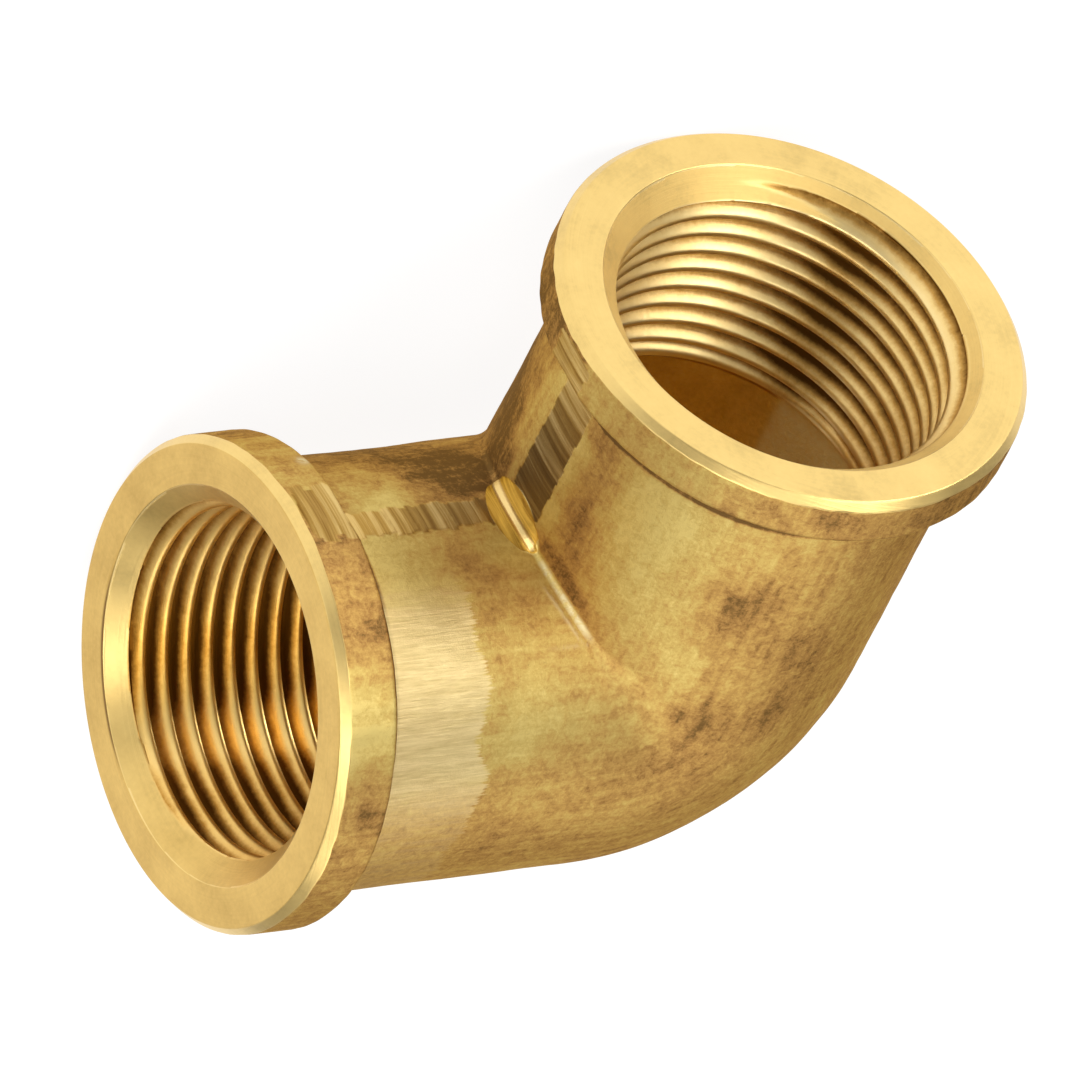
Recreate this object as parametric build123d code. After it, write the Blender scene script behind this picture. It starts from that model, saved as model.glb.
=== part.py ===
from build123d import *
from build123d.topology import SkipClean
import math
import os

# Brass pipe elbow, 90 degrees, with a female G 3/4 parallel pipe thread in both ends.
# It is one casting, so it is one solid in one node.
# Port A opens towards +X and port B towards -Y. The origin is the centre of port A's flat face.
# Each end is drawn along Z, with its flat face at the top, and then turned onto its own axis.

# whole casting, in mm
centre_to_face = 33.4  # from the crossing of the two port axes to each flat face
tube_radius = 14.9  # outside of the cast tube
bend_radius = 7.5  # of the centre line, less than tube_radius, so the inner corner is a crease
waterway_radius = 12.7  # cored passage behind the threads

# raised band around each mouth
band_radius = 17.2
band_width_a = 4.3
band_width_b = 3.6
band_shoulder = 0.8  # length of the slope from the band down to the tube
face_radius = 16.6  # outer edge of the machined ring face
face_chamfer = 0.7  # length of the chamfer around the ring face

# internal thread, ISO 228 G 3/4: 14 threads per inch, 55 degree Whitworth angle
thread_pitch = 25.4 / 14
thread_major_radius = 26.441 / 2
thread_minor_radius = 24.117 / 2
thread_half_angle = 27.5
thread_depth = 18.0  # from the flat face to the end of the threaded bore
thread_runout = 0.3  # how far past the end of the bore the groove begins
groove_floor = thread_pitch / 6  # flat at the bottom of the groove
groove_clearance = 0.15  # how far the groove cutter reaches into the open bore
countersink_radius = 13.85  # mouth of the 90 degree countersink
relief_slope = 0.6  # length of the slope from the threaded bore out to the waterway

# Each turn of the thread's crest is divided into this many short faces.
crest_sectors = 8
sector_start = 7.0  # degrees
groove_start = 21.0  # degrees, away from every sector's edge


def revolved(outline):
    """A solid of revolution about Z from (radius, height) points."""
    return revolve(Plane.XZ * make_face(Polyline(*outline, close=True)), Axis.Z)


def bend(radius):
    """A round section trimmed at the bend axis and turned 90 degrees, from port A's axis to port B's."""
    section = Plane.YZ.offset(bend_radius) * Circle(radius)
    kept_side = Plane.YZ.offset(bend_radius) * Pos(-bend_radius, 0) * Rectangle(
        radius + bend_radius, 2 * radius, align=(Align.MIN, Align.CENTER)
    )
    bend_axis = Axis((bend_radius, -bend_radius, 0), (0, 0, 1))
    return revolve(section & kept_side, bend_axis, 90)


def end_blank(band_width):
    """The solid outside of one end, from the bend to the flat face."""
    band_back = centre_to_face - band_width
    return revolved(
        [
            (0, bend_radius),
            (tube_radius, bend_radius),
            (tube_radius, band_back - band_shoulder),
            (band_radius, band_back),
            (band_radius, centre_to_face - face_chamfer),
            (face_radius, centre_to_face),
            (0, centre_to_face),
        ]
    )


def end_core():
    """What is removed from one end: the waterway, and the room for the threaded wall."""
    thread_end = centre_to_face - thread_depth
    slope_foot = thread_end - relief_slope
    return revolved(
        [
            (0, bend_radius),
            (waterway_radius, bend_radius),
            (waterway_radius, slope_foot),
            (thread_minor_radius, thread_end),
            (countersink_radius, thread_end),
            (countersink_radius, centre_to_face),
            (0, centre_to_face),
        ]
    )


def groove_turn():
    """One turn of the thread's V groove, a right-hand helix about Z that starts at height 0."""
    inner_radius = thread_minor_radius - groove_clearance
    flank_rise = math.tan(math.radians(thread_half_angle)) * (thread_major_radius - inner_radius)
    section = Plane.XZ * make_face(
        Polyline(
            (inner_radius, -groove_floor / 2 - flank_rise),
            (thread_major_radius, -groove_floor / 2),
            (thread_major_radius, groove_floor / 2),
            (inner_radius, groove_floor / 2 + flank_rise),
            close=True,
        )
    )
    path = Helix(thread_pitch, thread_pitch, thread_minor_radius)
    return sweep(section, path=path, is_frenet=True).rotate(Axis.Z, groove_start)


def groove():
    """The turns end to end, from just past the end of the bore until they run out of the mouth."""
    bottom = centre_to_face - thread_depth - thread_runout
    turns = math.ceil((thread_depth + thread_runout) / thread_pitch) + 1
    turn = groove_turn()
    return [Pos(0, 0, bottom + number * thread_pitch) * turn for number in range(turns)]


def threaded_wall():
    """The ring of metal that carries the thread and the countersink, joined from equal sectors."""
    thread_end = centre_to_face - thread_depth
    ring = revolved(
        [
            (thread_minor_radius, thread_end),
            (countersink_radius, thread_end),
            (countersink_radius, centre_to_face),
            (thread_minor_radius, centre_to_face - countersink_radius + thread_minor_radius),
        ]
    )
    ring = ring.cut(*groove())
    step = 360 / crest_sectors
    cake = revolve(
        Plane.XZ * Pos(0, thread_end) * Rectangle(band_radius, centre_to_face, align=Align.MIN),
        Axis.Z,
        step,
    )
    sectors = [
        ring & cake.rotate(Axis.Z, sector_start + step * number) for number in range(crest_sectors)
    ]
    return sectors[0].fuse(*sectors[1:])


def elbow_body():
    """The whole casting, with the origin moved to port A's flat face."""
    to_a = Rot(0, 90, 0)
    to_b = Rot(90, 0, 0)
    outside = bend(tube_radius) + to_a * end_blank(band_width_a) + to_b * end_blank(band_width_b)
    passage = bend(waterway_radius) + to_a * end_core() + to_b * end_core()
    body = outside - passage
    with SkipClean():
        wall = threaded_wall()
        for turned in (to_a, to_b):
            body = body.fuse(turned * wall)
    return Pos(-centre_to_face, 0, 0) * body


os.makedirs("parts", exist_ok=True)
body = elbow_body()
export_step(body, "parts/elbow_body.step")
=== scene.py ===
import math
from typing import NamedTuple

import bpy
import numpy as np
from mathutils import Matrix, Vector


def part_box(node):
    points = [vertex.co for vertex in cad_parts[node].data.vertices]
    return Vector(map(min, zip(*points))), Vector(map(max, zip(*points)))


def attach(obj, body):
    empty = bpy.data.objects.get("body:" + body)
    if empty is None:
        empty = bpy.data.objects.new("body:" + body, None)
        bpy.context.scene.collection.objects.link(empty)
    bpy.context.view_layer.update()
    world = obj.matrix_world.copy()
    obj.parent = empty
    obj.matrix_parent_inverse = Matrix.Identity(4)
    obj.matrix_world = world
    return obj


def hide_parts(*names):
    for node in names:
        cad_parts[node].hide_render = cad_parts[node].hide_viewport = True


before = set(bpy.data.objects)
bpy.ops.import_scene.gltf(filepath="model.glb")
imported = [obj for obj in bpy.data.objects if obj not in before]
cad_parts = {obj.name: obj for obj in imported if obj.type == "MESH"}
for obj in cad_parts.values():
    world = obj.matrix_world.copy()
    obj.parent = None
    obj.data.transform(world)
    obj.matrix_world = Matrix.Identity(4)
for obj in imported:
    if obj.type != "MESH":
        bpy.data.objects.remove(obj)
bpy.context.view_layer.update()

# A brass pipe elbow as one mesh. Its rows run from port A's mouth over the outside to port B's mouth
# and back through the passage, and its columns run round the pipe.
# Lengths are in millimetres until the mesh is written. The elbow's own frame has its origin where
# the two port axes cross: port A opens towards +X and port B towards -Y.
MM = 0.001
WELD = 1e-4  # points that round to the same multiples of this become one
low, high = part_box("elbow_body")
LEG = -low.y / MM  # from the crossing of the axes to each flat face
BAND_R = high.z / MM
TUBE_R = 14.9
BEND_R = 7.5  # of the centre line, less than the tube's radius, so the inner corner is a crease
WATERWAY_R = 12.7
FACE_R = 16.6
CHAMFER = 0.7
COUNTERSINK_R = 13.85
BAND_WIDTH = {"a": 4.3, "b": 3.6}
SHOULDER = 0.8
FOOT_RUN = 1.0  # the first stretch of tube behind the shoulder
MOUTH_DEPTH = 0.06  # where the outside's rows end in the countersink, and the thread's rows begin

# The thread.
PITCH = 25.4 / 14
CREST_R = 24.117 / 2
ROOT_R = 26.441 / 2
THREAD_END = 17.8
RELIEF_END = 18.6
RUNOUT = (1.5, 0.1)  # the last groove fades out between these distances before the end
# depth, at angle zero, of the edge where the crest drops into the next groove
CREST_START = {"a": 3.889 - PITCH / 2, "b": 1.325}
# the first groove only reaches its full depth this far behind the flat face
MOUTH_FADE = {"a": (1.0, 1.6), "b": (0.2, 0.7)}
# shares of one pitch: how long the wall drops into the groove, and from where and how long it rises
GROOVE_DROP = 0.27
GROOVE_RISE_START = 0.24
GROOVE_RISE = 0.70
THREAD_TURNS = np.arange(-3, 13)  # enough to cover the wall from the mouth to the end at any angle
# places of the rows along one pitch, closest at the edge and at the crest
TURN_NODES = np.array(
    [0, 0.03, 0.1, 0.18, 0.26, 0.32, 0.38, 0.45, 0.51, 0.57, 0.65, 0.73, 0.79, 0.825, 0.86, 0.93, 0.97]
)

# The ground web in the inner corner, and the fillet round it.
WEB_CENTRE = -0.1
WEB_HALF_LENGTH = 3.25
WEB_FLATNESS = 0.6
LEAST_FILLET = 0.42
WEB_FILLET = 1.35
ABOVE_FILLET = 2.0  # what is added at the top and the bottom, over the ramp
BELOW_FILLET = 0.6
FILLET_RAMP = (9.0, 13.0)
BEAD_HALF_WIDTH = 0.3
BEAD_HEIGHT = 0.16
RIPPLE_HEIGHT = 0.012

# Rows along an end's profile, from its mouth to its tube.
SIDE_STEPS = (1, 8, 6, 16, 4, 3)
CORNER_STEPS = 4
CORNER_CUTS = (0, 0.04, 0.09, 0.1, 0.3, 0.5, 0)  # how far from each corner its rounding starts
TURNED_SIDES = 3  # the first sides, up to the chamfer, are turned and the others are cast
FOOT_ROWS = CORNER_STEPS + SIDE_STEPS[-1] + 2  # rows from the last one of the shoulder on
SHOULDER_ROWS = FOOT_ROWS + SIDE_STEPS[-2] - 1  # rows from the first one of the shoulder on
TUBE_ROWS = 96
BEND_ROWS = 73
PASSAGE_ROWS = 15
RELIEF_ROWS = 5
PASSAGE_BEND_ROWS = 37

SKIN, MACHINED, THREAD, WATERWAY = range(4)


# ---------------------------------------------------------------- random fields and fades

def waves(points, wavelength, seed, count=28):
    """A smooth random field with unit spread, at points in mm."""
    draw = np.random.RandomState(seed)
    total = np.zeros(points.shape[:-1])
    for _ in range(count):
        direction = draw.normal(size=3)
        direction /= np.linalg.norm(direction)
        size = wavelength * draw.uniform(0.7, 1.5)
        total += np.cos(points @ (direction * 2 * np.pi / size) + draw.uniform(0, 2 * np.pi))
    return total / math.sqrt(count / 2)


def smoothstep(start, stop, value):
    """Rises from 0 at start to 1 at stop. Start may be the greater of the two."""
    t = np.clip((value - start) / (stop - start), 0, 1)
    return t * t * (3 - 2 * t)


def fall(start, stop, value):
    """Falls from 1 at start to 0 at stop."""
    return 1 - smoothstep(start, stop, value)


def bell(value, centre, width, power=2):
    """1 at the centre, fading out over the width. A power of 4 gives it a flatter top."""
    return np.exp(-(((value - centre) / width) ** power))


def near(points, centre, reach):
    """1 at the centre, fading out over the reach, for points in mm."""
    return bell(np.linalg.norm(points - np.array(centre), axis=-1), 0, reach)


# ---------------------------------------------------------------- columns and rows of the mesh

def column_angles():
    """Angles round the pipe, from the inner corner: close together along the parting line.

    The ring closes where it began, at -36 or 324 degrees.
    """
    fine = np.arange(-36.0, 45.9, 0.4)
    coarse = np.arange(46.0, 325.0, 1.0)
    return np.radians(np.concatenate([fine, coarse, [324.0]]))


ANGLE = column_angles()
TURN = np.degrees(ANGLE)
COS, SIN = np.cos(ANGLE), np.sin(ANGLE)
CORNER = COS > 0  # the half of the ring on the inner side of the bend


def end_point(port, depth, radius):
    """Points of one end, from the depth behind its flat face and the distance from its axis."""
    along = LEG - depth
    inward, sideways = radius * COS, radius * SIN
    along, inward, sideways = np.broadcast_arrays(along, inward, sideways)
    if port == "a":
        return np.stack([along, -inward, sideways], -1)
    return np.stack([inward, -along, sideways], -1)


def corner_radius(inward, least, spread):
    """Radius that a line along the pipe turns with at the bend, never less than least."""
    return least + spread * np.logaddexp(0, (BEND_R - inward - least) / spread)


def bend_point(start, turn, rows):
    """The x and y of rows round the bend that begins at start, and the angle turned so far."""
    turned = np.linspace(0, np.pi / 2, rows)[:, None]
    return start - turn * np.sin(turned), -start + turn * np.cos(turned), turned


def as_points(x, y, z):
    return np.stack(np.broadcast_arrays(x, y, z), -1)


def rounded_rows(corners):
    """Rows of (depth, radius) along an end's profile, for every column, and the side each is on."""
    corners = [np.broadcast_to(np.stack(np.broadcast_arrays(*c), -1), (len(ANGLE), 2)) for c in corners]
    last = len(SIDE_STEPS) - 1
    rows, sides, start = [], [], corners[0]
    for side, steps in enumerate(SIDE_STEPS):
        stop = corner = corners[side + 1]
        if side < last:
            back = corners[side] - corner
            ahead = corners[side + 2] - corner
            cut = CORNER_CUTS[side + 1]
            stop = corner + back * (cut / np.linalg.norm(back, axis=1))[:, None]
            resume = corner + ahead * (cut / np.linalg.norm(ahead, axis=1))[:, None]
        for step in range(steps):
            rows.append(start + (stop - start) * (step / steps))
            sides.append(side)
        if side == last:
            rows.append(stop)
            sides.append(side)
            break
        for step in range(CORNER_STEPS):
            t = step / CORNER_STEPS
            rows.append(stop * (1 - t) ** 2 + corner * 2 * t * (1 - t) + resume * t * t)
            sides.append(side if t < 0.5 else side + 1)
        start = resume
    return np.array(rows), sides


# ---------------------------------------------------------------- the outside, before its unevenness

def band_wobble(slow_seed, quick_seed, quick_length):
    """How far the cast band's edge lies below its full radius, round the ring."""
    circle = np.stack([BAND_R * COS, BAND_R * SIN, 0 * COS], -1)
    slow = waves(circle, 14.0, slow_seed)
    quick = waves(circle, quick_length, quick_seed)
    return np.clip(0.05 + 0.03 * slow + 0.012 * quick, 0, 0.2)


BAND_WOBBLE = {"a": band_wobble(11, 12, 2.0), "b": band_wobble(21, 22, 1.8)}


def end_outside(port):
    """One end, from the rim of its mouth over its face and band to the tube, and its rows' materials."""
    band_back = BAND_WIDTH[port]
    band = BAND_R - BAND_WOBBLE[port]
    chamfer_back = CHAMFER * (band - FACE_R) / (BAND_R - FACE_R)
    foot = band_back + SHOULDER
    rows, sides = rounded_rows(
        [
            (MOUTH_DEPTH, COUNTERSINK_R - MOUTH_DEPTH),
            (0, COUNTERSINK_R),
            (0, FACE_R),
            (chamfer_back, band),
            (band_back, band),
            (foot, TUBE_R),
            (foot + FOOT_RUN, TUBE_R),
        ]
    )
    kinds = [MACHINED if side < TURNED_SIDES else SKIN for side in sides]
    return end_point(port, rows[..., 0], rows[..., 1]), kinds


def web_of(sideways):
    """1 along the middle of the ground web in the inner corner, falling to 0 at its two tips."""
    web = np.clip(1 - ((sideways - WEB_CENTRE) / WEB_HALF_LENGTH) ** 2, 0, 1)
    return np.where(CORNER, web, 0)


def bend_outside(start, turn, web):
    """The bend with the ground web in its inner corner, and roughly each point's way past the crease."""
    inward, sideways = TUBE_R * COS, TUBE_R * SIN
    x, y, turned = bend_point(start, turn, BEND_ROWS)
    off_line = (turned / (np.pi / 4) - 1) * turn * 0.8
    # The web is flatter than the fillet round it: two ground facets that meet at a low bright bead.
    chord = turned / (np.pi / 2)
    flat_x = start + (inward - start) * chord
    flat_y = -inward + (inward - start) * chord
    lean = smoothstep(0, 0.5, web) * WEB_FLATNESS
    x = x + (flat_x - x) * lean
    y = y + (flat_y - y) * lean
    along_bead = smoothstep(0, 0.15, web)
    bead = along_bead * bell(off_line, 0, BEAD_HALF_WIDTH, 4) * BEAD_HEIGHT
    facet = along_bead * np.clip(np.abs(off_line) / 1.2, 0, 1)
    ripple = facet * RIPPLE_HEIGHT * np.sin(off_line * 9 + 1.3 * sideways + 2 * np.sin(sideways * 2.1))
    for proud in (bead, ripple):
        x = x + proud * math.sqrt(0.5)
        y = y - proud * math.sqrt(0.5)
    return as_points(x, y, sideways), off_line


class Outside(NamedTuple):
    """The outside before its unevenness: points in rows by columns, and what the rows are part of."""

    grid: np.ndarray
    kinds: np.ndarray
    bend: np.ndarray
    bend_rows: slice  # of the grid. They leave out the bend's first row, which tube A has.
    on_a: np.ndarray  # rows of port A's end and tube
    on_b: np.ndarray
    a_tube: np.ndarray  # rows of port A from the foot of its shoulder to the bend
    b_tube: np.ndarray
    on_band: np.ndarray  # rows of either end in front of its shoulder
    along: np.ndarray  # distance from the crossing of the axes, and 0 in the bend
    web: np.ndarray
    off_line: np.ndarray


def plain_outside():
    ends = {port: end_outside(port) for port in "ab"}
    inward, sideways = TUBE_R * COS, TUBE_R * SIN
    web = web_of(sideways)
    above = ABOVE_FILLET * smoothstep(*FILLET_RAMP, sideways)
    below = BELOW_FILLET * smoothstep(*FILLET_RAMP, -sideways)
    fillet = LEAST_FILLET + WEB_FILLET * web ** 0.6 + above + below
    turn = corner_radius(inward, least=fillet, spread=0.45)
    start = inward + turn
    share = np.linspace(0, 1, TUBE_ROWS)[:, None]
    tubes = {}
    for port in "ab":
        first = LEG - (BAND_WIDTH[port] + SHOULDER + FOOT_RUN)
        tubes[port] = end_point(port, LEG - (first + (start - first) * share), TUBE_R)
    bend, off_line = bend_outside(start, turn, web)
    (end_a, kinds_a), (end_b, kinds_b) = ends["a"], ends["b"]
    cast = [tubes["a"][1:], bend[1:], tubes["b"][::-1][1:]]
    grid = np.concatenate([end_a, *cast, end_b[::-1][1:]])
    kinds = kinds_a + [SKIN] * sum(len(section) for section in cast) + kinds_b[::-1][1:]
    row = np.arange(len(grid))
    bend_first = len(end_a) + TUBE_ROWS - 1
    bend_stop = bend_first + BEND_ROWS - 1
    on_a = row < bend_first
    on_b = row >= bend_stop
    along = np.zeros(grid.shape[:2])
    along[on_a] = grid[on_a, :, 0]
    along[on_b] = -grid[on_b, :, 1]
    from_b = len(grid) - len(end_b)
    return Outside(
        grid=grid,
        kinds=np.array(kinds),
        bend=bend,
        bend_rows=slice(bend_first, bend_stop),
        on_a=on_a,
        on_b=on_b,
        a_tube=on_a & (row >= len(end_a) - FOOT_ROWS),
        b_tube=on_b & (row < from_b + FOOT_ROWS),
        on_band=(row < len(end_a) - SHOULDER_ROWS) | (row >= from_b + SHOULDER_ROWS),
        along=along,
        web=web,
        off_line=off_line,
    )


def normals_of(grid):
    """Outward unit normals of a grid of rows by columns, whose last column repeats its first."""
    across = np.empty_like(grid)
    across[:, 1:-1] = grid[:, 2:] - grid[:, :-2]
    across[:, 0] = grid[:, 1] - grid[:, -2]
    across[:, -1] = across[:, 0]
    along = np.gradient(grid, axis=0)
    normal = np.cross(across, along)
    normal /= np.maximum(np.linalg.norm(normal, axis=-1, keepdims=True), 1e-12)
    centre = grid.mean(axis=(0, 1))
    if np.mean(np.sum(normal * (grid - centre), -1)) < 0:
        normal = -normal
    return normal


def lumps_of(outside):
    """Height of the unevenness of the cast skin, in mm. The bands are smoother than the tubes."""
    grid = outside.grid
    tube = 0.035 * waves(grid, 14.0, 31) + 0.007 * waves(grid, 4.0, 32) + 0.0035 * waves(grid, 1.2, 33)
    band = -0.015 + 0.005 * waves(grid, 1.6, 34)
    lumps = np.where(outside.on_band[:, None], band, tube)
    return np.where((outside.kinds == SKIN)[:, None], lumps, 0)


# ---------------------------------------------------------------- flats ground along the parting line

class Flat(NamedTuple):
    """A flat ground along the parting line of a tube or a band, in mm."""

    rows: np.ndarray
    radius: float
    centre: float  # of its width, sideways
    depth: float
    start: float  # distance from the crossing of the axes
    stop: float
    seed: int
    bite: float  # usual width of one bite of the grinding belt
    spread: float  # unevenness of the bites
    painted_shade: tuple  # start, stop, and how much painted shade darkens it at each


# Each flat's painted shade mixes its colour from bright ground brass towards grey, as painted shade and
# painted reflection of dark surroundings.
def flats_of(outside):
    cast = outside.kinds == SKIN
    a_band = outside.on_a & ~outside.a_tube & cast
    b_band = outside.on_b & ~outside.b_tube & cast
    return (
        Flat(
            rows=outside.a_tube, radius=TUBE_R, centre=-0.83, depth=0.055, start=15.6, stop=29.4,
            seed=41, bite=0.62, spread=0.009, painted_shade=(27, 18, 0.15, 0.65),
        ),
        Flat(
            rows=outside.b_tube, radius=TUBE_R, centre=0.1, depth=0.125, start=16.0, stop=29.4,
            seed=42, bite=0.5, spread=0.008, painted_shade=(20, 28, 1.0, 0.5),
        ),
        Flat(
            rows=a_band, radius=BAND_R, centre=-0.6, depth=0.17, start=28.6, stop=32.75,
            seed=43, bite=0.75, spread=0.02, painted_shade=(29, 32, 0.3, 0.3),
        ),
        Flat(
            rows=b_band, radius=BAND_R, centre=0.0, depth=0.14, start=29.2, stop=32.6,
            seed=44, bite=0.8, spread=0.015, painted_shade=(29, 32, 0.45, 0.45),
        ),
    )


def bite_offset(flat, position):
    """Steps of uneven width along a flat: each is one bite of the grinding belt."""
    bites = 60
    draw = np.random.RandomState(flat.seed)
    edges = np.cumsum(draw.uniform(0.6, 1.5, bites)) * flat.bite - 2
    heights = draw.normal(size=bites + 1) * flat.spread
    tilts = draw.uniform(-1, 1, bites + 1)
    index = np.searchsorted(edges, position)
    before = edges[np.clip(index - 1, 0, bites - 1)]
    after = edges[np.clip(index, 0, bites - 1)]
    share = np.clip((position - before) / np.maximum(after - before, 1e-6), 0, 1)
    return heights[index] + flat.spread * 1.6 * tilts[index] * (share - 0.5)


def cut_of(flat, along):
    """How far a flat lowers the surface, in mm."""
    fade = 0.5
    bite = flat.depth + bite_offset(flat, along + 0.12 * flat.radius * SIN)
    bite *= smoothstep(flat.start, flat.start + fade, along) * fall(flat.stop - fade, flat.stop, along)
    cosine = np.cos(ANGLE - math.asin(flat.centre / flat.radius))
    reached = cosine > 0.5
    level = np.where(reached, (flat.radius - bite) / np.where(reached, cosine, 1), flat.radius)
    return np.maximum(flat.radius - level, 0) * (bite > 0) * flat.rows[:, None]


def grind_flats(outside, height):
    """The height with the flats cut into it, where the flats are, and how much painted shade darkens them."""
    ground = np.zeros(height.shape)
    shade = np.zeros(height.shape)
    for flat in flats_of(outside):
        cut = cut_of(flat, outside.along)
        start, stop, first, last = flat.painted_shade
        painted_shade = first + (last - first) * smoothstep(start, stop, outside.along)
        mask = smoothstep(0.0, 0.012, cut)
        ground = np.maximum(ground, mask)
        shade = np.maximum(shade, mask * painted_shade)
        # What stood proud is gone, and a hollow is nearly filled.
        height = np.minimum(height, 0) * mask * 0.15 + height * (1 - mask) - cut
    return height, ground, shade


# ---------------------------------------------------------------- marks in the inner corner

def web_mask(outside):
    """Half on the web's facets, whose outline is ragged, and full on its bead."""
    mask = np.zeros(outside.grid.shape[:2])
    ragged = 0.09 * waves(outside.bend * np.array([1.0, 1.0, 2.0]), 1.5, 71)
    width = outside.web[None, :] - 0.16 * np.abs(outside.off_line) + ragged
    facets = smoothstep(0.0, 0.08, width) * 0.5 * (outside.web > 0)
    on_bead = bell(outside.off_line, 0, 0.33, 4) * smoothstep(0, 0.15, outside.web)
    mask[outside.bend_rows] = (facets + 0.5 * on_bead)[1:]
    return mask


def crease_lines(outside):
    """The crease with a highlight painted pale along it, and a faint raised line beside it on tube A, with
    its tick, also painted pale as a highlight.
    """
    sideways = TUBE_R * SIN
    past = outside.along - TUBE_R * COS
    crease = np.zeros(outside.grid.shape[:2])
    # where along the crease its highlight is painted
    wear_and_sheen = smoothstep(3.4, 4.4, sideways) * fall(8.2, 9.4, sideways) * CORNER
    crease[outside.bend_rows] = (bell(outside.off_line, 0, 0.3) * wear_and_sheen)[1:]
    beside = bell(past - 1.2 + 0.045 * sideways, 0, 0.14)
    beside = beside * smoothstep(5.0, 5.8, sideways) * fall(9.0, 9.3, sideways)
    tick = bell(sideways, 9.2, 0.12) * fall(1.8, 4.2, past)
    raised = np.maximum(beside * 0.7, tick * 0.35) * outside.on_a[:, None] * CORNER
    return crease, raised


def crease_shadow_of(outside):
    """Painted shadow beside the crease on tube B."""
    sideways = TUBE_R * SIN
    past = outside.along - TUBE_R * COS
    across = smoothstep(0.25, 0.7, past) * fall(1.3, 2.6, past)
    length = smoothstep(1.5, 3.5, sideways) * fall(6.5, 10.5, sideways)
    return across * length * outside.on_b[:, None] * CORNER


def outside_surface():
    """Points of the finished outside, its rows' materials, and its marks by name."""
    outside = plain_outside()
    normal = normals_of(outside.grid)
    height, ground, shade = grind_flats(outside, lumps_of(outside))
    grid = outside.grid + normal * height[..., None]
    crease, raised = crease_lines(outside)
    nick = near(grid, (29.6, -16.1, -5.9), 0.45)
    # pale marks: the painted highlight along the crease and the raised line, and a bright nick
    line = np.maximum(np.maximum(crease, raised), np.clip(1.4 * nick, 0, 1))
    grid = grid + normal * (0.035 * raised)[..., None]
    brushed, polish, border = brushed_of(grid)
    stain = outside_stain(grid, outside.kinds, crease_shadow_of(outside)) + 0.17 * border
    marks = {"ground": ground, "shade": shade, "web": web_mask(outside), "line": line}
    marks.update(stain=stain, brushed=brushed, polish=polish)
    return grid, outside.kinds, marks


# ---------------------------------------------------------------- stains and brushing on the outside

# Where the cast skin is stained, as (x, y, z) in mm, reach and strength, with one spot of painted shade.
# Below zero it is cleaner.
STAIN_AND_SHADE_SPOTS = (
    ((20.3, -14.5, 3.2), 1.9, 0.16),
    ((18.0, -14.2, 4.6), 2.0, 0.26),
    ((16.2, -13.3, 6.9), 1.8, 0.22),
    ((25.0, -14.3, 4.2), 3.0, -0.20),
    ((18.0, -14.6, -3.2), 4.0, 0.45),
    ((24.4, -14.6, -2.8), 2.4, -0.45),
    ((14.5, -27.0, 3.6), 2.2, 0.40),
    ((14.3, -23.8, 4.2), 2.4, 0.40),
    ((14.2, -20.2, 4.6), 2.2, 0.50),
    ((13.9, -17.0, 5.6), 2.2, 0.40),
    ((14.6, -21.8, 2.4), 1.3, -0.55),
    ((14.6, -24.8, 2.4), 1.3, -0.55),
    ((14.7, -18.8, 2.4), 1.2, -0.40),
    ((12.9, -20.2, -7.4), 5.0, 0.30),
    ((4.4, -8.6, 14.2), 2.2, 0.28),
    ((-0.4, -9.0, 14.9), 2.4, 0.24),
    ((-0.4, -15.9, 14.9), 2.6, 0.20),
    ((5.8, -20.7, 13.7), 2.4, 0.18),
    ((11.7, -24.8, 9.3), 4.0, -0.20),
    ((15.8, -9.8, 11.2), 4.0, 0.10),
    # a dark spot painted as shade where band A's back step meets the tube on the parting line
    ((29.2, -17.0, 0.7), 0.8, 0.90),
)


def skin_stain(grid):
    """How brown the cast skin is from stains and painted shade, from 0 to 1."""
    turn = np.degrees((ANGLE + np.pi) % (2 * np.pi) - np.pi)
    edge = turn + 7 * waves(grid, 9.0, 52) + 3 * waves(grid, 2.5, 53)
    amount = 0.24 + 0.07 * waves(grid, 12.0, 51)
    outer = 0.33 * np.where(turn > -90, smoothstep(58, 76, edge), 0)
    amount = amount + outer * (1 - 0.4 * smoothstep(120, 160, turn))
    # The far side, past the parting line, is painted darker as shade, and meets the rest at the outer wall,
    # where the angle wraps round.
    beyond = 0.32 * fall(-14, -4, edge) + 0.22 * fall(-36, -18, edge)
    amount = amount + np.where(turn < 90, beyond, 0) * (1 - 0.63 * smoothstep(60, 165, -turn))
    for centre, reach, strength in STAIN_AND_SHADE_SPOTS:
        amount = amount + strength * near(grid, centre, reach)
    return np.clip(amount, 0, 1)


def seam_dirt_and_shade_of(depth, port):
    """Darkening behind a band: a little dirt on its shoulder, and a dark line of painted shade on the tube at
    the foot of the step, over the inner side.
    """
    back = BAND_WIDTH[port]
    shoulder = smoothstep(back - 0.1, back + 0.3, depth) * fall(5.3, 5.8, depth)
    inner_side = smoothstep(-50, -25, TURN) * fall(85, 115, TURN)
    # the dark line is painted shade at the foot of the band's step
    line = inner_side * smoothstep(back - 0.1, back + 0.1, depth) * fall(5.72, 5.95, depth)
    return np.maximum(0.22 * shoulder, line)


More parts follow.
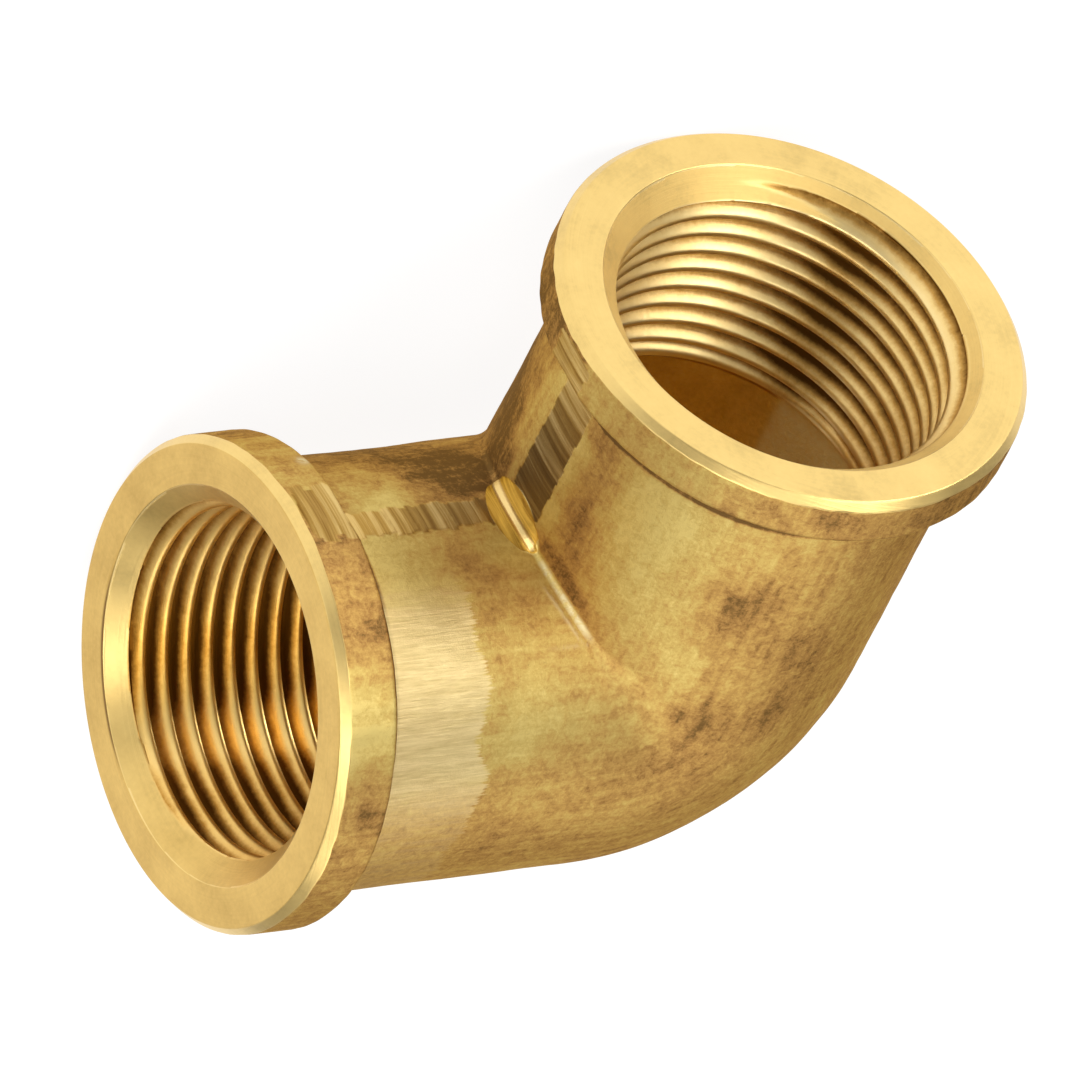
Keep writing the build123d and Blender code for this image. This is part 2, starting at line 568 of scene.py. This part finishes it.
def outside_stain(grid, kinds, crease_shadow):
    """How brown the cast rows are from stains and painted shade, and how dark the turned ones are from
    painted shade and a burr line.
    """
    depth_a = LEG - grid[..., 0]
    seam_dirt_and_shade = np.maximum(seam_dirt_and_shade_of(depth_a, "a"), seam_dirt_and_shade_of(LEG + grid[..., 1], "b"))
    # the stains get the seam's dirt and painted shade, and the painted shadow beside the crease
    stain = skin_stain(grid) + 0.8 * seam_dirt_and_shade + 0.45 * crease_shadow
    stain = stain + 0.12 * smoothstep(LEG - 4.0, LEG - 3.6, -grid[..., 1])
    # Band A: a brown patch, two cleaner ones, and a small dark one at its back.
    on_band_a = smoothstep(LEG - 4.6, LEG - 4.2, grid[..., 0])
    stain = stain + on_band_a * (0.42 * smoothstep(-6, 4, TURN) * fall(28, 45, TURN))
    stain = stain - on_band_a * (0.2 * fall(-12, -4, TURN) + 0.22 * bell(TURN, 54, 11))
    at_back = fall(LEG - 2.6, LEG - 1.6, grid[..., 0])
    stain = stain + on_band_a * at_back * 0.28 * bell(TURN, 73, 6)
    # The turned face of port A is painted darker than that of port B, as shade, with a burr line inside it.
    ring = np.hypot(grid[..., 1], grid[..., 2])
    burr = fall(13.88, 13.96, ring) * bell(ANGLE, 3.95, 0.5, 4)
    dull = np.where(grid[..., 0] > LEG - 0.02, 0.85 + 1.2 * burr, 0.0)
    return np.where((kinds == MACHINED)[:, None], dull, stain)


def brushed_of(grid):
    """Tube A, where the skin was brushed bright towards its collar.

    Gives how far towards the collar a point is, how bright it was brushed, and the dull border.
    """
    edge = 21.0 - 0.8 * smoothstep(25, 55, TURN) + 0.45 * waves(grid * np.array([0.2, 1, 1]), 6.0, 61)
    reach = smoothstep(edge - 1.8, edge + 1.8, grid[..., 0])
    on_tube = grid[..., 0] < LEG - BAND_WIDTH["a"] - SHOULDER / 2
    on_tube = on_tube * (grid[..., 1] > -LEG / 2) * (TURN > -10)
    window = smoothstep(8, 34, TURN) * (1 - 0.7 * smoothstep(62, 92, TURN)) * fall(120, 170, TURN)
    border = bell(grid[..., 0] - edge, -1.4, 1.0) * smoothstep(2, 14, TURN) * fall(50, 75, TURN)
    return reach * on_tube, window * on_tube, border * on_tube


# ---------------------------------------------------------------- threads and waterway

def groove_share(port, depth, phase):
    """Depth of the groove at a depth behind the flat face, as a share of its full depth."""
    u = np.mod((depth - phase) / PITCH + 1e-9, 1.0)
    down = np.clip(u / GROOVE_DROP, 0, 1)
    rise = 0.5 + 0.5 * np.cos(np.pi * np.clip((u - GROOVE_RISE_START) / GROOVE_RISE, 0, 1))
    share = np.minimum(down, rise)
    share = share - 0.05 * smoothstep(0.6, 1.0, share)
    return share * smoothstep(*MOUTH_FADE[port], depth)


def thread_wall(share):
    return CREST_R + (ROOT_R - CREST_R) * share


def thread_rows(port):
    """Rows of the threaded wall from the countersink to its end, and the shares of cone and groove."""
    sense = 1 if port == "a" else -1  # the columns run round the two ports in opposite senses
    phase = CREST_START[port] + sense * PITCH * ANGLE / (2 * np.pi)
    node = (THREAD_TURNS[:, None] + TURN_NODES[None, :]).ravel()[:, None]
    depth = np.clip(phase[None, :] + PITCH * node, MOUTH_DEPTH, THREAD_END)
    # Move the nearest row onto each crossing of the cone and the thread, so that the edge is clean.
    gap = COUNTERSINK_R - depth - thread_wall(groove_share(port, depth, phase))
    rows, columns = np.nonzero((gap[:-1] > 0) != (gap[1:] > 0))
    part = gap[rows, columns] / (gap[rows, columns] - gap[rows + 1, columns])
    crossing = depth[rows, columns] + part * (depth[rows + 1, columns] - depth[rows, columns])
    target = np.where(part < 0.5, rows, rows + 1)
    inner = (depth[target, columns] > MOUTH_DEPTH) & (depth[target, columns] < THREAD_END)
    depth[target[inner], columns[inner]] = crossing[inner]
    share = groove_share(port, depth, phase)
    wall = thread_wall(share)
    lip = smoothstep(THREAD_END - RUNOUT[0], THREAD_END - RUNOUT[1], depth)
    wall = wall + (CREST_R - wall) * lip
    cone = COUNTERSINK_R - depth
    open_cone = smoothstep(0.0, 0.08, cone - wall)
    return end_point(port, depth, np.maximum(wall, cone)), open_cone, share * (1 - lip) * (1 - open_cone)


def waterway_rows(last_of_a, last_of_b):
    """The relief behind each thread and the cored waterway between them, from port B to port A."""
    inward = WATERWAY_R * COS
    turn = corner_radius(inward, least=0.5, spread=0.4)
    start = inward + turn
    ends = {}
    for port in "ab":
        share = np.linspace(0, 1, RELIEF_ROWS)[1:, None]
        depth = THREAD_END + (RELIEF_END - THREAD_END) * share
        relief = end_point(port, depth, CREST_R + (WATERWAY_R - CREST_R) * share)
        share = np.linspace(0, 1, PASSAGE_ROWS)[1:, None]
        first = LEG - RELIEF_END
        straight = end_point(port, LEG - (first + (start - first) * share), WATERWAY_R)
        ends[port] = np.concatenate([relief, straight])
    x, y, _ = bend_point(start, turn, PASSAGE_BEND_ROWS)
    bend = as_points(x, y, WATERWAY_R * SIN)
    return np.concatenate([last_of_b, ends["b"], bend[::-1][1:], ends["a"][::-1][1:], last_of_a])


# ---------------------------------------------------------------- building the whole casting

MASKS = (
    "ground",
    "shade",
    "web",
    "line",
    "stain",
    "brushed",
    "polish",
    "groove",
    "cone",
    "rough",
    "painted_light_patch",
    "oily",
    "warm",
)


def rolled_out(along):
    """A distance along the pipe, and a place round it, in mm."""
    return as_points(along, TUBE_R * COS, TUBE_R * SIN)


def outside_rolled_out(grid):
    """The distance is x on tube A and y on tube B. It changes over in the bend, sharply at the corner."""
    lean = np.arctan2(LEG + grid[..., 1], LEG - grid[..., 0]) / (np.pi / 4) - 1
    swing = np.clip(lean * np.where(COS > 0.2, 40, 3), -1, 1)
    return rolled_out(grid[..., 0] + grid[..., 1] + swing * TUBE_R * COS)


def inside_rolled_out(grid):
    """The distance is that along the line halfway between the inner corner and the outer wall."""
    column = int(np.argmin(np.abs(ANGLE - np.pi / 2)))
    step = np.linalg.norm(np.diff(grid[:, column], axis=0), axis=-1)
    return rolled_out(np.concatenate([[0], np.cumsum(step)])[:, None])


class Section(NamedTuple):
    """Some of the mesh's rows."""

    grid: np.ndarray
    kinds: np.ndarray
    pipe: np.ndarray
    marks: dict


def inside_section(grid, kind, marks):
    return Section(grid, np.array([[kind]]), inside_rolled_out(grid), marks)


def make_sections():
    """The outside, port B's thread, the waterway and port A's thread, in the order of their rows."""
    outside, kinds, outside_marks = outside_surface()
    thread_a, cone_a, groove_a = thread_rows("a")
    thread_b, cone_b, groove_b = thread_rows("b")
    waterway = waterway_rows(thread_a[-1:], thread_b[-1:])
    # The countersinks: port A's is painted darker as shade away from its inner side and near angle 5.2, and
    # port B's is rougher.
    cone_a_shade = cone_a * (0.42 + 0.4 * np.cos(ANGLE - 1.7) + 0.7 * bell(ANGLE, 5.2, 0.45))
    # Light and shade are painted round part of each thread by angle: darker bands, a lighter band on port A
    # where its highlights fall, and port A a little darker all round.
    oily_a = 0.15 + 0.34 * bell(ANGLE, 4.02, 0.27) + 0.2 * bell(ANGLE, 3.1, 0.22)
    # a lighter band of painted highlight on port A's crests
    oily_a = oily_a - 0.3 * bell(ANGLE, 3.53, 0.17, 4)
    # an orange tint over port A's thread, deepest in its painted shade
    warm_a = 0.55 + 0.4 * bell(ANGLE, 4.0, 0.35)
    # painted shade on port B's thread
    oily_b = 0.46 * bell(ANGLE, 3.80, 0.22) + 0.26 * bell(ANGLE, 3.05, 0.62, 4)
    oily_b = oily_b * smoothstep(1.6, 3.0, LEG + thread_b[..., 1])
    # A pool of light is painted on the outer wall of the waterway behind port B.
    painted_light_patch = smoothstep(-7.7, -7.1, waterway[..., 2]) * smoothstep(8.0, 10.0, -waterway[..., 0])
    marks_b = {"groove": groove_b, "cone": cone_b, "rough": cone_b, "oily": oily_b}
    marks_a = {"groove": groove_a[::-1], "cone": cone_a[::-1], "stain": cone_a_shade[::-1]}
    marks_a.update(oily=oily_a, warm=warm_a)
    return (
        Section(outside, kinds[:, None], outside_rolled_out(outside), outside_marks),
        inside_section(thread_b, THREAD, marks_b),
        inside_section(waterway, WATERWAY, {"painted_light_patch": painted_light_patch}),
        inside_section(thread_a[::-1], THREAD, marks_a),
    )


def clipped(points):
    """No point leaves the CAD model's box."""
    shifted = points + np.array([-LEG, 0, 0])
    return np.clip(shifted, np.array(low) / MM, np.array(high) / MM)


def build_mesh():
    """Points in mm, quads and their materials, and the masks and the rolled-out place of each point."""
    points, faces, materials, pipes = [], [], [], []
    masks = {name: [] for name in MASKS}
    offset = 0
    for section in make_sections():
        shape = section.grid.shape[:2]
        kind = np.broadcast_to(section.kinds, shape)
        index = offset + np.arange(shape[0] * shape[1]).reshape(shape)
        quads = np.stack([index[:-1, :-1], index[:-1, 1:], index[1:, 1:], index[1:, :-1]], -1)
        faces.append(quads.reshape(-1, 4))
        materials.append(np.maximum(kind[:-1, :-1], kind[1:, :-1]).ravel())
        points.append(section.grid.reshape(-1, 3))
        pipes.append(section.pipe.reshape(-1, 3))
        for name in MASKS:
            masks[name].append(np.broadcast_to(section.marks.get(name, 0.0), shape).ravel())
        offset += shape[0] * shape[1]
    points = clipped(np.concatenate(points))
    faces, materials = np.concatenate(faces), np.concatenate(materials)
    # Rows and columns that lie on each other become one.
    _, keep, inverse = np.unique(
        np.round(points / WELD).astype(np.int64), axis=0, return_index=True, return_inverse=True
    )
    faces = inverse.ravel()[faces]
    masks = {name: np.concatenate(values)[keep] for name, values in masks.items()}
    return points[keep], faces, materials, masks, np.concatenate(pipes)[keep]


def closed_faces(faces, materials):
    """Quads, with those that have two corners in one place turned into triangles or left out."""
    out, kinds = [], []
    for face, kind in zip(faces.tolist(), materials.tolist()):
        loop = [face[i] for i in range(4) if face[i] != face[i - 1]]
        if len(loop) >= 3 and len(set(loop)) == len(loop):
            out.append(loop)
            kinds.append(kind)
    return out, kinds


def signed_volume(mesh):
    """The mesh's volume, which is below zero when its faces look inwards."""
    mesh.calc_loop_triangles()
    corner = np.zeros(len(mesh.loop_triangles) * 3, np.int32)
    mesh.loop_triangles.foreach_get("vertices", corner)
    place = np.zeros(len(mesh.vertices) * 3)
    mesh.vertices.foreach_get("co", place)
    tri = place.reshape(-1, 3)[corner.reshape(-1, 3)]
    return float(np.einsum("ij,ij->i", tri[:, 0], np.cross(tri[:, 1], tri[:, 2])).sum() / 6)


def make_elbow():
    points, faces, materials, masks, pipe = build_mesh()
    loops, kinds = closed_faces(faces, materials)
    mesh = bpy.data.meshes.new("elbow")
    mesh.from_pydata((points * MM).tolist(), [], loops)
    mesh.polygons.foreach_set("material_index", np.array(kinds, np.int32))
    for name, values in masks.items():
        layer = mesh.attributes.new(name, "FLOAT", "POINT")
        layer.data.foreach_set("value", values.astype(np.float32))
    layer = mesh.attributes.new("pipe", "FLOAT_VECTOR", "POINT")
    layer.data.foreach_set("vector", pipe.astype(np.float32).ravel())
    mesh.polygons.foreach_set("use_smooth", np.ones(len(mesh.polygons), bool))
    mesh.update()
    mesh.validate()
    mesh.set_sharp_from_angle(angle=math.radians(38))
    if signed_volume(mesh) < 0:
        mesh.flip_normals()
    piece = bpy.data.objects.new("elbow", mesh)
    bpy.context.scene.collection.objects.link(piece)
    return piece


elbow = make_elbow()


# ---------------------------------------------------------------- materials

class Paint:
    """One material's node tree, with short calls for the nodes that it needs."""

    def __init__(self, name, metallic):
        self.material = bpy.data.materials.new(name)
        self.material.use_nodes = True
        self.tree = self.material.node_tree
        self.shader = self.tree.nodes["Principled BSDF"]
        self.shader.inputs["Metallic"].default_value = metallic

    def node(self, kind, **settings):
        made = self.tree.nodes.new(kind)
        for name, value in settings.items():
            setattr(made, name, value)
        return made

    def put(self, socket, value):
        if isinstance(value, bpy.types.NodeSocket):
            self.tree.links.new(value, socket)
        else:
            socket.default_value = value

    def mask(self, name):
        return self.node("ShaderNodeAttribute", attribute_name=name).outputs["Fac"]

    def place(self, scale, pipe=False):
        """Coordinates in mm, times scale: the object's own, or the pipe rolled out straight."""
        if pipe:
            source, unit = self.node("ShaderNodeAttribute", attribute_name="pipe").outputs["Vector"], 1
        else:
            source, unit = self.node("ShaderNodeTexCoord").outputs["Object"], 1 / MM
        mapping = self.node("ShaderNodeMapping")
        self.put(mapping.inputs["Vector"], source)
        mapping.inputs["Scale"].default_value = [unit * s for s in scale]
        return mapping.outputs["Vector"]

    def noise(self, where, detail=4, rough=0.55, warp=0.0):
        made = self.node("ShaderNodeTexNoise")
        self.put(made.inputs["Vector"], where)
        made.inputs["Scale"].default_value = 1
        made.inputs["Detail"].default_value = detail
        made.inputs["Roughness"].default_value = rough
        made.inputs["Distortion"].default_value = warp
        return made.outputs["Fac"]

    def sum(self, *terms):
        """Sum of (weight, value) pairs. A value is a socket or a number."""
        total = 0.0
        for weight, value in terms:
            made = self.node("ShaderNodeMath", operation="MULTIPLY_ADD")
            self.put(made.inputs[0], value)
            made.inputs[1].default_value = weight
            self.put(made.inputs[2], total)
            total = made.outputs[0]
        return total

    def times(self, one, other):
        made = self.node("ShaderNodeMath", operation="MULTIPLY")
        self.put(made.inputs[0], one)
        self.put(made.inputs[1], other)
        return made.outputs[0]

    def larger(self, one, other):
        made = self.node("ShaderNodeMath", operation="MAXIMUM")
        self.put(made.inputs[0], one)
        self.put(made.inputs[1], other)
        return made.outputs[0]

    def span(self, value, start, stop, low_value=0.0, high_value=1.0):
        made = self.node("ShaderNodeMapRange", interpolation_type="SMOOTHSTEP")
        self.put(made.inputs["Value"], value)
        made.inputs["From Min"].default_value = start
        made.inputs["From Max"].default_value = stop
        made.inputs["To Min"].default_value = low_value
        made.inputs["To Max"].default_value = high_value
        return made.outputs["Result"]

    def ramp(self, value, *stops):
        made = self.node("ShaderNodeValToRGB")
        self.put(made.inputs["Fac"], value)
        points = made.color_ramp.elements
        while len(points) < len(stops):
            points.new(0.5)
        for point, (position, colour) in zip(points, stops):
            point.position = position
            point.color = (*colour, 1)
        return made.outputs["Color"]

    def mix(self, share, first, second, blend="MIX"):
        made = self.node("ShaderNodeMix", data_type="RGBA", blend_type=blend)
        self.put(made.inputs["Factor"], share)
        for socket, value in ((made.inputs[6], first), (made.inputs[7], second)):
            self.put(socket, value if isinstance(value, bpy.types.NodeSocket) else (*value, 1))
        return made.outputs[2]

    def bump(self, height, depth):
        """Height from 0 to 1, over depth in mm."""
        made = self.node("ShaderNodeBump")
        made.inputs["Distance"].default_value = depth * MM
        self.put(made.inputs["Height"], height)
        self.put(self.shader.inputs["Normal"], made.outputs["Normal"])

    def finish(self, colour, roughness):
        self.put(self.shader.inputs["Base Color"], colour)
        self.put(self.shader.inputs["Roughness"], roughness)
        return self.material


# Tint of the cast surfaces' gloss at a glancing angle.
CAST_TINT = (0.6, 0.42, 0.2, 1)


def even(scale):
    """One scale along all three axes."""
    return (scale, scale, scale)


def ground_marks(paint):
    """Streaks across the pipe, as a grinding belt leaves them: broad ones with fine scratches in them."""
    bites = paint.noise(paint.place((1.3, 0.05, 0.05), pipe=True), 1, 0.5)
    scratches = paint.noise(paint.place((4.5, 0.1, 0.1), pipe=True), 4, 0.65)
    return paint.sum((0.55, bites), (0.45, scratches))


def cast_skin():
    """Sand-cast brass with brown stains, painted shade and a painted highlight along the crease, and the
    places where it was ground or brushed bright.
    """
    paint = Paint("cast_skin", 0.9)
    paint.shader.inputs["Specular Tint"].default_value = CAST_TINT
    cloud = paint.noise(paint.place(even(0.22)), 5, 0.6)
    mottle = paint.noise(paint.place(even(1.1)), 8, 0.76, 0.6)
    grain = paint.noise(paint.place(even(3.6)), 5, 0.75)
    along = paint.noise(paint.place((0.16, 1.7, 1.7), pipe=True), 5, 0.62)
    hair = paint.noise(paint.place((0.45, 6.0, 6.0), pipe=True), 4, 0.62)
    across = ground_marks(paint)

    # stains together with painted shade
    stain = paint.mask("stain")
    brown = paint.sum((1.0, stain), (0.25, cloud), (1.15, mottle), (0.7, along), (0.85, grain), (-1.445, 1.0))
    skin = paint.ramp(
        brown,
        (0.0, (0.76, 0.59, 0.20)),
        (0.25, (0.66, 0.48, 0.145)),
        (0.5, (0.58, 0.36, 0.105)),
        (0.75, (0.43, 0.235, 0.072)),
        (1.0, (0.20, 0.11, 0.035)),
    )
    pits = paint.span(paint.noise(paint.place(even(2.2)), 5, 0.75), 0.62, 0.72)
    skin = paint.mix(paint.times(pits, 0.35), skin, (0.26, 0.12, 0.035))

    # brushed bright behind band A
    pale = paint.ramp(
        paint.sum((0.7, hair), (0.5, along), (-0.1, 1.0)),
        (0.25, (0.58, 0.43, 0.18)),
        (0.65, (0.90, 0.72, 0.36)),
    )
    hairy = paint.sum((1.0, paint.mask("brushed")), (0.9, hair), (0.5, along), (-0.7, 1.0))
    patchy = paint.sum((1.0, paint.mask("polish")), (0.35, along), (-0.17, 1.0))
    brushed = paint.times(paint.span(hairy, 0.42, 0.58), paint.span(patchy, 0.05, 0.95, 0.0, 0.88))
    skin = paint.mix(brushed, skin, pale)

    # ground flat along the parting line: bright ground brass, mixed towards grey by painted shade that stands
    # in for the dark surroundings it reflects
    bright = paint.ramp(
        across,
        (0.40, (0.38, 0.20, 0.04)),
        (0.5, (0.60, 0.36, 0.085)),
        (0.60, (0.86, 0.60, 0.21)),
    )
    dull = paint.ramp(
        across,
        (0.40, (0.19, 0.13, 0.055)),
        (0.52, (0.29, 0.205, 0.085)),
        (0.64, (0.52, 0.41, 0.20)),
    )
    ground = paint.mask("ground")
    skin = paint.mix(ground, skin, paint.mix(paint.mask("shade"), bright, dull))

    # the web in the inner corner, with its bead, and below it the crease and the raised line beside it with a
    # painted highlight, and a bright nick
    web = paint.mask("web")
    facet = paint.ramp(across, (0.44, (0.34, 0.17, 0.022)), (0.58, (0.66, 0.38, 0.06)))
    golden = paint.mix(paint.span(web, 0.55, 0.9), facet, (0.95, 0.69, 0.28))
    worked = paint.span(web, 0.05, 0.3)
    skin = paint.mix(worked, skin, golden)
    # painted highlight of the crease and of the raised line beside it
    wear_and_sheen = paint.times(paint.mask("line"), paint.span(mottle, 0.4, 0.56, 0.1, 0.9))
    skin = paint.mix(wear_and_sheen, skin, (0.80, 0.69, 0.40))

    bared = paint.larger(ground, worked)
    rough = paint.sum((0.16, mottle), (0.10, stain), (-0.16, bared), (-0.05, brushed), (0.42, 1.0))
    texture = paint.mix(brushed, paint.mix(ground, mottle, across), hair)
    paint.bump(paint.sum((0.7, texture), (0.3, grain)), 0.05)
    return paint.finish(skin, rough)


def lathe_finish(paint):
    """Colour, roughness and height of a turned surface: bright, with fine rings, places painted darker as
    shade, and a dark burr line.
    """
    rings = paint.noise(paint.place((11.0, 0.04, 0.04), pipe=True), 3, 0.6)
    cloud = paint.noise(paint.place(even(0.25)), 4, 0.55)
    fine = paint.noise(paint.place(even(2.5)), 4, 0.6)
    stain = paint.mask("stain")
    tone = paint.sum((0.7, cloud), (0.3, fine), (0.22, rings), (-0.1, 1.0))
    bright = paint.ramp(
        tone,
        (0.3, (0.72, 0.51, 0.18)),
        (0.5, (0.87, 0.62, 0.22)),
        (0.75, (0.93, 0.68, 0.25)),
    )
    dull = paint.ramp(tone, (0.3, (0.55, 0.34, 0.085)), (0.7, (0.78, 0.52, 0.155)))
    # darker where painted shade is given
    colour = paint.mix(stain, bright, dull)
    colour = paint.mix(paint.span(stain, 1.0, 1.8), colour, (0.25, 0.14, 0.04))
    rough = paint.sum((0.12, cloud), (0.08, rings), (0.22, paint.mask("rough")), (0.07, stain), (0.24, 1.0))
    return colour, rough, paint.sum((0.8, rings), (0.2, fine))


def turned_brass():
    """The flat faces and chamfers, as turned."""
    paint = Paint("turned_brass", 1.0)
    colour, rough, height = lathe_finish(paint)
    paint.bump(height, 0.012)
    return paint.finish(colour, rough)


def thread_brass():
    """The countersink, as turned, and the cut thread with bright crests and grooves darkened brown by oil and
    painted shade, with painted light and shade by angle round it.
    """
    paint = Paint("thread_brass", 1.0)
    turned, turned_rough, turned_height = lathe_finish(paint)
    patch = paint.noise(paint.place(even(0.5)), 5, 0.6)
    fine = paint.noise(paint.place(even(3.0)), 4, 0.65)
    drag = paint.noise(paint.place((9.0, 0.3, 0.3), pipe=True), 3, 0.6)
    groove, oily = paint.mask("groove"), paint.mask("oily")
    # darker towards the groove roots from oil and painted shade, and by angle from painted light and shade
    grime_and_shade = paint.sum((1.1, groove), (0.4, patch), (0.3, fine), (1.0, oily), (-0.42, 1.0))
    colour = paint.ramp(
        grime_and_shade,
        (0.0, (0.99, 0.76, 0.35)),
        (0.35, (0.90, 0.64, 0.25)),
        (0.62, (0.56, 0.31, 0.075)),
        (0.92, (0.15, 0.065, 0.01)),
    )
    # orange tint over port A's thread, deepest in its painted shade
    colour = paint.mix(paint.mask("warm"), colour, (0.98, 0.80, 0.42), "MULTIPLY")
    cone = paint.mask("cone")
    colour = paint.mix(cone, colour, turned)
    wear_and_sheen = paint.sum((0.06, grime_and_shade), (0.08, drag), (0.31, 1.0))
    rough = paint.mix(cone, wear_and_sheen, turned_rough)
    paint.bump(paint.mix(cone, paint.sum((0.6, fine), (0.4, drag)), turned_height), 0.02)
    return paint.finish(colour, rough)


def cored_brass():
    """The waterway as cast: slightly rough, dark and brown, with a paler pool of light painted on it behind
    port B, where it is also less metallic.
    """
    paint = Paint("cored_brass", 1.0)
    cloud = paint.noise(paint.place(even(0.2)), 5, 0.6)
    fine = paint.noise(paint.place(even(2.6)), 5, 0.7)
    tone = paint.sum((0.6, cloud), (0.4, fine))
    dark = paint.ramp(
        tone,
        (0.35, (0.66, 0.40, 0.075)),
        (0.52, (0.84, 0.54, 0.125)),
        (0.7, (0.94, 0.67, 0.21)),
    )
    # the colour of the painted pool of light
    pale = paint.ramp(tone, (0.35, (0.94, 0.62, 0.19)), (0.6, (1.0, 0.78, 0.33)))
    painted_light_patch = paint.mask("painted_light_patch")
    paint.bump(fine, 0.12)
    paint.shader.inputs["Specular Tint"].default_value = CAST_TINT
    paint.put(paint.shader.inputs["Metallic"], paint.sum((-0.9, painted_light_patch), (1.0, 1.0)))
    return paint.finish(paint.mix(painted_light_patch, dark, pale), paint.sum((0.2, fine), (0.2, painted_light_patch), (0.28, 1.0)))


for material in (cast_skin(), turned_brass(), thread_brass(), cored_brass()):
    elbow.data.materials.append(material)

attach(elbow, "root")
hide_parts("elbow_body")


# ---------------------------------------------------------------- floor, camera and light, in metres

FLOOR_HALF_WIDTH = 1.6
CROSSING = Vector((-LEG * MM, 0, 0))  # of the two port axes

# Camera, from the crossing of the axes.
AZIMUTH, ELEVATION, ROLL = (math.radians(a) for a in (38.115, 31.193, -151.294))
CAMERA_DISTANCE = 2.4665
CAMERA_RIGHT, CAMERA_UP = -0.005704, 0.00668
LENS_MM, SENSOR_MM = 1200.0, 36.0

# Lights: right, up and front from the crossing along the camera's own axes, then size and watts.
LIGHTS = {
    "key": (0.7, -0.02, 0.6, (0.5, 0.5), 2.65),
    "overhead": (0.15, -0.88, 0.08, (1.3, 0.5), 3.5),
    "front": (0.0, -0.46, 0.76, (0.8, 0.35), 2.2),
    "left": (-0.40, -0.28, 0.78, (0.25, 0.6), 1.3),
    "low": (0.68, 0.478, 0.288, (0.3, 0.1), 1.6),
}


def add_object(name, data):
    made = bpy.data.objects.new(name, data)
    bpy.context.scene.collection.objects.link(made)
    return made


def make_floor():
    """A flat pale floor under the elbow."""
    mesh = bpy.data.meshes.new("floor")
    signs = ((-1, -1), (1, -1), (1, 1), (-1, 1))
    corners = [(FLOOR_HALF_WIDTH * x, FLOOR_HALF_WIDTH * y, low.z) for x, y in signs]
    mesh.from_pydata(corners, [], [(0, 1, 2, 3)])
    paper = bpy.data.materials.new("pale_floor")
    paper.use_nodes = True
    inputs = paper.node_tree.nodes["Principled BSDF"].inputs
    inputs["Base Color"].default_value = (0.16, 0.16, 0.16, 1)
    inputs["Roughness"].default_value = 0.9
    inputs["Emission Color"].default_value = (1, 1, 1, 1)
    inputs["Emission Strength"].default_value = 0.9
    mesh.materials.append(paper)
    return add_object("floor", mesh)


def camera_axes():
    """Unit vectors to the camera's right, up, and from the elbow towards it."""
    toward = Vector(
        (
            math.sin(AZIMUTH) * math.cos(ELEVATION),
            -math.cos(AZIMUTH) * math.cos(ELEVATION),
            math.sin(ELEVATION),
        )
    )
    level_right = (-toward).cross(Vector((0, 0, 1))).normalized()
    level_up = level_right.cross(-toward)
    right = level_right * math.cos(ROLL) - level_up * math.sin(ROLL)
    up = level_up * math.cos(ROLL) + level_right * math.sin(ROLL)
    return right, up, toward


def place_by_camera(right, up, front):
    """A place from the crossing of the axes, along the camera's own axes."""
    return CROSSING + camera_right * right + camera_up * up + toward_camera * front


def make_camera():
    data = bpy.data.cameras.new("camera")
    data.lens = LENS_MM
    data.sensor_width = SENSOR_MM
    data.clip_start = 0.1
    data.clip_end = 20
    made = add_object("camera", data)
    place = place_by_camera(CAMERA_RIGHT, CAMERA_UP, CAMERA_DISTANCE)
    axes = Matrix((camera_right, camera_up, toward_camera)).transposed().to_4x4()
    made.matrix_world = Matrix.Translation(place) @ axes
    return made


def softbox(name, right, up, front, size, power):
    """A rectangular area light that faces the elbow."""
    data = bpy.data.lights.new(name, "AREA")
    data.shape = "RECTANGLE"
    data.size, data.size_y = size
    data.energy = power
    lamp = add_object(name, data)
    lamp.location = place_by_camera(right, up, front)
    lamp.rotation_mode = "QUATERNION"
    lamp.rotation_quaternion = (lamp.location - CROSSING).to_track_quat("Z", "Y")
    lamp.visible_camera = False


floor = make_floor()

camera_right, camera_up, toward_camera = camera_axes()
bpy.context.scene.camera = make_camera()
for light_name, settings in LIGHTS.items():
    softbox(light_name, *settings)

world = bpy.data.worlds.new("studio")
bpy.context.scene.world = world
world.use_nodes = True
world.node_tree.nodes["Background"].inputs["Color"].default_value = (1, 1, 1, 1)
world.node_tree.nodes["Background"].inputs["Strength"].default_value = 0.36
bpy.context.scene.view_settings.view_transform = "Standard"
